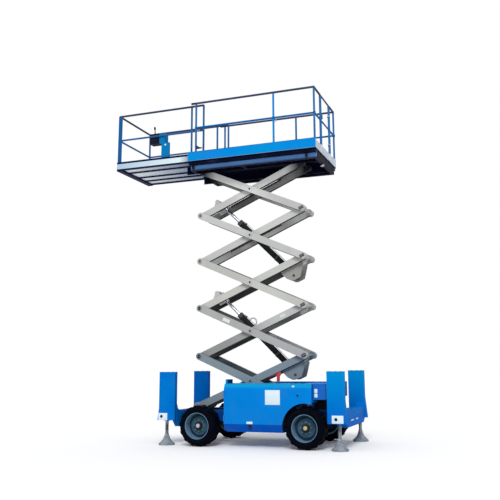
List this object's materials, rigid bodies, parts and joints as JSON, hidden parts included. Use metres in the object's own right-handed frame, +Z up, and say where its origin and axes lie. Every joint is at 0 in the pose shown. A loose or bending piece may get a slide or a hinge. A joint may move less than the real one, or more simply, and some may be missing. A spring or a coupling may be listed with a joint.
{
  "type": "rough-terrain scissor lift",
  "caption": "Self-propelled scissor lift, partly raised, with levelling jacks down and its slide-out deck extended.",
  "frame": {"origin": "on the ground, at the middle of the whole length and width as stored with the slide-out deck run out", "axes": "+X toward the entry gate and the fixed axle, -X toward the steered axle, +Z up, +Y to the far side"},
  "size_m": [4.359, 1.756, 6.05],
  "materials": {
    "machine_blue": "gloss paint",
    "deep_blue": "gloss paint",
    "arm_grey": "satin paint",
    "frame_black": "satin paint",
    "rail_grey": "satin paint",
    "deck_grey": "dull",
    "pale_grey": "satin paint",
    "tyre": "matte",
    "rim": "satin paint",
    "dark_steel": "dull",
    "rod_chrome": "polished",
    "panel_black": "matte"
  },
  "bodies": {
    "chassis": {"chassis_frame": "machine_blue", "front_jack_beam": "machine_blue", "rear_jack_beam": "machine_blue", "near_module": "machine_blue", "far_module": "machine_blue", "engine_block": "dark_steel", "oil_and_fuel_tanks": "frame_black", "rear_box": "deep_blue", "front_axle": "frame_black", "rear_axle": "frame_black"},
    "near_door": {"near_door": "machine_blue"},
    "near_knuckle": {"near_knuckle": "frame_black"},
    "front_near_wheel": {"front_near_tyre": "tyre", "front_near_rim": "rim"},
    "front_near_jack_leg": {"front_near_jack_leg": "dark_steel"},
    "rear_near_wheel": {"rear_near_tyre": "tyre", "rear_near_rim": "rim"},
    "rear_near_jack_leg": {"rear_near_jack_leg": "dark_steel"},
    "far_door": {"far_door": "machine_blue"},
    "far_knuckle": {"far_knuckle": "frame_black"},
    "front_far_wheel": {"front_far_tyre": "tyre", "front_far_rim": "rim"},
    "front_far_jack_leg": {"front_far_jack_leg": "dark_steel"},
    "rear_far_wheel": {"rear_far_tyre": "tyre", "rear_far_rim": "rim"},
    "rear_far_jack_leg": {"rear_far_jack_leg": "dark_steel"},
    "tie_rod": {"tie_rod": "dark_steel"},
    "outer_arms_1": {"outer_arms_1": "arm_grey"},
    "inner_arms_1": {"inner_arms_1": "arm_grey"},
    "outer_arms_2": {"outer_arms_2": "arm_grey"},
    "inner_arms_2": {"inner_arms_2": "arm_grey"},
    "outer_arms_3": {"outer_arms_3": "arm_grey"},
    "inner_arms_3": {"inner_arms_3": "arm_grey"},
    "outer_arms_4": {"outer_arms_4": "arm_grey"},
    "inner_arms_4": {"inner_arms_4": "arm_grey"},
    "outer_arms_5": {"outer_arms_5": "arm_grey"},
    "inner_arms_5": {"inner_arms_5": "arm_grey"},
    "lower_cylinder_rod": {"lower_cylinder_rod": "rod_chrome"},
    "lower_cylinder_barrel": {"lower_cylinder_barrel": "frame_black"},
    "upper_cylinder_rod": {"upper_cylinder_rod": "rod_chrome"},
    "upper_cylinder_barrel": {"upper_cylinder_barrel": "frame_black"},
    "platform": {"platform_underframe": "frame_black", "platform_deck": "deck_grey", "toe_boards": "machine_blue", "main_guard_rails": "rail_grey"},
    "extension": {"extension_deck": "pale_grey", "extension_guard_rails": "rail_grey", "platform_controls": "panel_black"},
    "entry_gate": {"entry_gate": "rail_grey"}
  },
  "joints": [
    {"name": "lift", "type": "hinge", "parent": "chassis", "child": "outer_arms_1", "pos_m": [1.3585, 0, 0.622], "axis": [0, 1, 0], "range_deg": [-19.1, 34.4]},
    {"name": "stage_1_centre", "type": "hinge", "parent": "outer_arms_1", "child": "inner_arms_1", "pos_m": [0.39326, 0, 1.04411], "axis": [0, 1, 0], "range_deg": [-68.85, 38.25]},
    {"name": "stage_1_end", "type": "hinge", "parent": "inner_arms_1", "child": "outer_arms_2", "pos_m": [1.3585, 0, 1.46621], "axis": [0, 1, 0], "range_deg": [-38.25, 68.85]},
    {"name": "stage_2_centre", "type": "hinge", "parent": "outer_arms_2", "child": "inner_arms_2", "pos_m": [0.39326, 0, 1.88831], "axis": [0, 1, 0], "range_deg": [-68.85, 38.25]},
    {"name": "stage_2_end", "type": "hinge", "parent": "inner_arms_2", "child": "outer_arms_3", "pos_m": [1.3585, 0, 2.31042], "axis": [0, 1, 0], "range_deg": [-38.25, 68.85]},
    {"name": "stage_3_centre", "type": "hinge", "parent": "outer_arms_3", "child": "inner_arms_3", "pos_m": [0.39326, 0, 2.73252], "axis": [0, 1, 0], "range_deg": [-68.85, 38.25]},
    {"name": "stage_3_end", "type": "hinge", "parent": "inner_arms_3", "child": "outer_arms_4", "pos_m": [1.3585, 0, 3.15463], "axis": [0, 1, 0], "range_deg": [-38.25, 68.85]},
    {"name": "stage_4_centre", "type": "hinge", "parent": "outer_arms_4", "child": "inner_arms_4", "pos_m": [0.39326, 0, 3.57673], "axis": [0, 1, 0], "range_deg": [-68.85, 38.25]},
    {"name": "stage_4_end", "type": "hinge", "parent": "inner_arms_4", "child": "outer_arms_5", "pos_m": [1.3585, 0, 3.99884], "axis": [0, 1, 0], "range_deg": [-38.25, 68.85]},
    {"name": "stage_5_centre", "type": "hinge", "parent": "outer_arms_5", "child": "inner_arms_5", "pos_m": [0.39326, 0, 4.42094], "axis": [0, 1, 0], "range_deg": [-68.85, 38.25]},
    {"name": "platform_level", "type": "hinge", "parent": "inner_arms_5", "child": "platform", "pos_m": [1.3585, 0, 4.84305], "axis": [0, 1, 0], "range_deg": [-19.15, 34.45]},
    {"name": "lower_cylinder_swing", "type": "hinge", "parent": "inner_arms_3", "child": "lower_cylinder_rod", "pos_m": [-0.30419, 0, 2.58033], "axis": [0, 1, 0], "range_deg": [-34.14, 61.45]},
    {"name": "lower_cylinder_stroke", "type": "slide", "parent": "lower_cylinder_rod", "child": "lower_cylinder_barrel", "axis": [0.7116, 0, -0.7026], "range_m": [-0.4324, 0.7771]},
    {"name": "upper_cylinder_swing", "type": "hinge", "parent": "inner_arms_5", "child": "upper_cylinder_rod", "pos_m": [-0.30419, 0, 4.26875], "axis": [0, 1, 0], "range_deg": [-34.14, 61.45]},
    {"name": "upper_cylinder_stroke", "type": "slide", "parent": "upper_cylinder_rod", "child": "upper_cylinder_barrel", "axis": [0.7116, 0, -0.7026], "range_m": [-0.4324, 0.7771]},
    {"name": "steering", "type": "hinge", "parent": "chassis", "child": "near_knuckle", "pos_m": [-0.3465, -0.48, 0.33], "axis": [0, 0, 1], "range_deg": [-28, 28]},
    {"name": "front_near_wheel_roll", "type": "hinge", "parent": "near_knuckle", "child": "front_near_wheel", "pos_m": [-0.3465, -0.71, 0.33], "axis": [0, 1, 0], "continuous": true},
    {"name": "rear_near_wheel_roll", "type": "hinge", "parent": "chassis", "child": "rear_near_wheel", "pos_m": [1.5035, -0.71, 0.33], "axis": [0, 1, 0], "continuous": true},
    {"name": "front_near_jack", "type": "slide", "parent": "chassis", "child": "front_near_jack_leg", "axis": [0, 0, 1], "range_m": [0, 0.21]},
    {"name": "rear_near_jack", "type": "slide", "parent": "chassis", "child": "rear_near_jack_leg", "axis": [0, 0, 1], "range_m": [0, 0.21]},
    {"name": "near_door_hinge", "type": "hinge", "parent": "chassis", "child": "near_door", "pos_m": [0.1225, -0.816, 0.6], "axis": [0, 0, -1], "range_deg": [0, 100]},
    {"name": "far_steering", "type": "hinge", "parent": "chassis", "child": "far_knuckle", "pos_m": [-0.3465, 0.48, 0.33], "axis": [0, 0, 1], "range_deg": [-28.1, 28.1]},
    {"name": "front_far_wheel_roll", "type": "hinge", "parent": "far_knuckle", "child": "front_far_wheel", "pos_m": [-0.3465, 0.71, 0.33], "axis": [0, 1, 0], "continuous": true},
    {"name": "rear_far_wheel_roll", "type": "hinge", "parent": "chassis", "child": "rear_far_wheel", "pos_m": [1.5035, 0.71, 0.33], "axis": [0, 1, 0], "continuous": true},
    {"name": "front_far_jack", "type": "slide", "parent": "chassis", "child": "front_far_jack_leg", "axis": [0, 0, 1], "range_m": [0, 0.21]},
    {"name": "rear_far_jack", "type": "slide", "parent": "chassis", "child": "rear_far_jack_leg", "axis": [0, 0, 1], "range_m": [0, 0.21]},
    {"name": "far_door_hinge", "type": "hinge", "parent": "chassis", "child": "far_door", "pos_m": [0.1225, 0.816, 0.6], "axis": [0, 0, 1], "range_deg": [0, 100]},
    {"name": "tie_rod_swing", "type": "hinge", "parent": "near_knuckle", "child": "tie_rod", "pos_m": [-0.1965, -0.48, 0.33], "axis": [0, 0, 1], "range_deg": [-28.1, 28.1]},
    {"name": "deck_extension", "type": "slide", "parent": "platform", "child": "extension", "axis": [1, 0, 0], "range_m": [0, 1.42]},
    {"name": "gate_swing", "type": "hinge", "parent": "platform", "child": "entry_gate", "pos_m": [1.7315, 0.305, 5.5], "axis": [0, 0, -1], "range_deg": [0, 90]}
  ],
  "couplings": [
    {"joint": "stage_1_centre", "follows": "lift", "ratio": -2},
    {"joint": "stage_1_end", "follows": "lift", "ratio": 2},
    {"joint": "stage_2_centre", "follows": "lift", "ratio": -2},
    {"joint": "stage_2_end", "follows": "lift", "ratio": 2},
    {"joint": "stage_3_centre", "follows": "lift", "ratio": -2},
    {"joint": "stage_3_end", "follows": "lift", "ratio": 2},
    {"joint": "stage_4_centre", "follows": "lift", "ratio": -2},
    {"joint": "stage_4_end", "follows": "lift", "ratio": 2},
    {"joint": "stage_5_centre", "follows": "lift", "ratio": -2},
    {"joint": "platform_level", "follows": "lift", "ratio": 1},
    {"joint": "lower_cylinder_swing", "follows": "lift", "ratio": 1.785},
    {"joint": "lower_cylinder_stroke", "follows": "lift", "m_per_rad": 1.291},
    {"joint": "upper_cylinder_swing", "follows": "lift", "ratio": 1.785},
    {"joint": "upper_cylinder_stroke", "follows": "lift", "m_per_rad": 1.291},
    {"joint": "far_steering", "follows": "steering", "ratio": 1},
    {"joint": "tie_rod_swing", "follows": "steering", "ratio": -1}
  ]
}
